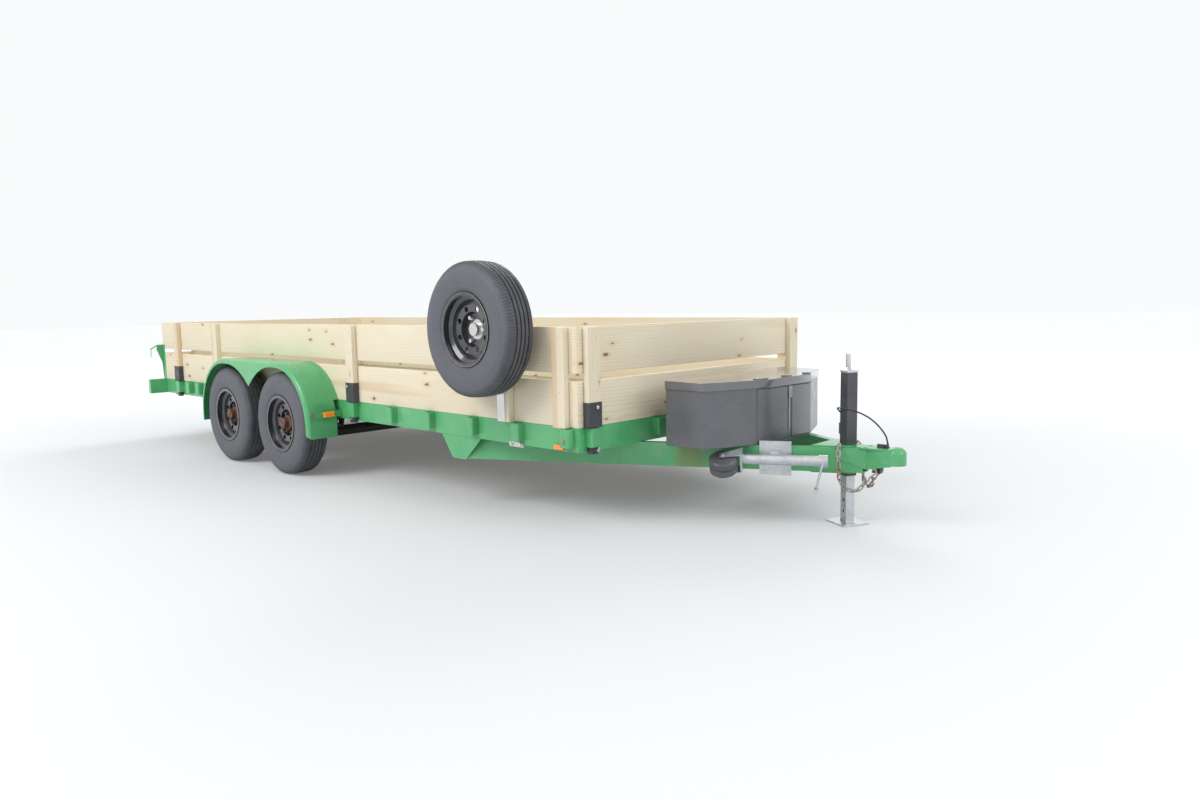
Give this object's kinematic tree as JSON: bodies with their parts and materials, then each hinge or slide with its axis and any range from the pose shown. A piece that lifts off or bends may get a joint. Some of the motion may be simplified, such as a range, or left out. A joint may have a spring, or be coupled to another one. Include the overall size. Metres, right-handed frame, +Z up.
{
  "type": "utility trailer",
  "caption": "Low flatbed trailer with tandem axles, plank stake sides, an A-frame tongue with toolbox and jacks, and a spare wheel on one side.",
  "frame": {"origin": "on the ground, under the middle of the whole length and width", "axes": "+X forward to the coupler, +Y to the left, +Z up"},
  "size_m": [6.615, 2.581, 1.3905],
  "materials": {
    "green_paint": "gloss",
    "chassis_black": "satin",
    "deck_wood": "matt",
    "pine_wood": "matt",
    "tyre": "matt",
    "wheel_black": "gloss",
    "rusty_hub": "matt",
    "socket_black": "satin",
    "zinc": "satin",
    "galvanised": "satin",
    "amber_lens": "gloss",
    "red_lens": "gloss",
    "box_plastic": "textured",
    "caster_plastic": "matt",
    "chain_steel": "rusty",
    "cable_rubber": "matt"
  },
  "bodies": {
    "chassis": {"axle_front": "chassis_black", "axle_rear": "chassis_black", "breakaway_lead": "cable_rubber", "breakaway_switch": "box_plastic", "coupler": "green_paint", "coupler_latch": "socket_black", "crossmembers": "chassis_black", "deck_planks": "deck_wood", "fender_bars": "green_paint", "fenders": "green_paint", "front_boards": "pine_wood", "front_header": "green_paint", "hitch_pins": "zinc", "jack_crank": "galvanised", "jack_leg": "galvanised", "jack_tube": "socket_black", "leaf_springs": "chassis_black", "marker_lamps": "amber_lens", "post_sockets": "socket_black", "rear_boards": "pine_wood", "rear_bumper": "green_paint", "rear_uprights": "green_paint", "safety_chains": "chain_steel", "side_boards": "pine_wood", "side_rails": "green_paint", "spare_carrier": "zinc", "spare_rim": "wheel_black", "spare_tyre": "tyre", "spring_equalisers": "chassis_black", "spring_hangers": "chassis_black", "stake_pockets": "green_paint", "stake_posts": "pine_wood", "swivel_bracket": "galvanised", "tail_lamps": "red_lens", "tongue_channels": "green_paint", "tongue_gussets": "green_paint", "tongue_plates": "green_paint", "toolbox_body": "box_plastic", "toolbox_hinges": "zinc", "toolbox_latches": "zinc"},
    "wheel_front_right": {"tyre_front_right": "tyre", "rim_front_right": "wheel_black", "hub_front_right": "rusty_hub"},
    "wheel_front_left": {"tyre_front_left": "tyre", "rim_front_left": "wheel_black", "hub_front_left": "rusty_hub"},
    "wheel_rear_right": {"tyre_rear_right": "tyre", "rim_rear_right": "wheel_black", "hub_rear_right": "rusty_hub"},
    "wheel_rear_left": {"tyre_rear_left": "tyre", "rim_rear_left": "wheel_black", "hub_rear_left": "rusty_hub"},
    "lid": {"toolbox_lid": "box_plastic", "lid_knuckles": "zinc"},
    "swivel_leg": {"swivel_jack": "galvanised"},
    "caster": {"swivel_caster": "caster_plastic"}
  },
  "joints": [
    {"name": "wheel_front_right_spin", "type": "hinge", "parent": "chassis", "child": "wheel_front_right", "pos_m": [-0.6375, -1.18, 0.3595], "axis": [0, 1, 0], "continuous": true},
    {"name": "wheel_front_left_spin", "type": "hinge", "parent": "chassis", "child": "wheel_front_left", "pos_m": [-0.6375, 1.18, 0.3595], "axis": [0, 1, 0], "continuous": true},
    {"name": "wheel_rear_right_spin", "type": "hinge", "parent": "chassis", "child": "wheel_rear_right", "pos_m": [-1.4755, -1.18, 0.3595], "axis": [0, 1, 0], "continuous": true},
    {"name": "wheel_rear_left_spin", "type": "hinge", "parent": "chassis", "child": "wheel_rear_left", "pos_m": [-1.4755, 1.18, 0.3595], "axis": [0, 1, 0], "continuous": true},
    {"name": "lid_hinge", "type": "hinge", "parent": "chassis", "child": "lid", "pos_m": [2.2417, 0, 0.742], "axis": [0, -1, 0], "range_deg": [0, 95]},
    {"name": "swivel_jack_pivot", "type": "hinge", "parent": "chassis", "child": "swivel_leg", "pos_m": [2.72578, -0.26684, 0.344], "axis": [0.4571, -0.8894, 0], "range_deg": [0, 90]},
    {"name": "caster_spin", "type": "hinge", "parent": "swivel_leg", "child": "caster", "pos_m": [2.53546, -0.45219, 0.32076], "axis": [0.1932, -0.3759, 0.9063], "continuous": true}
  ]
}
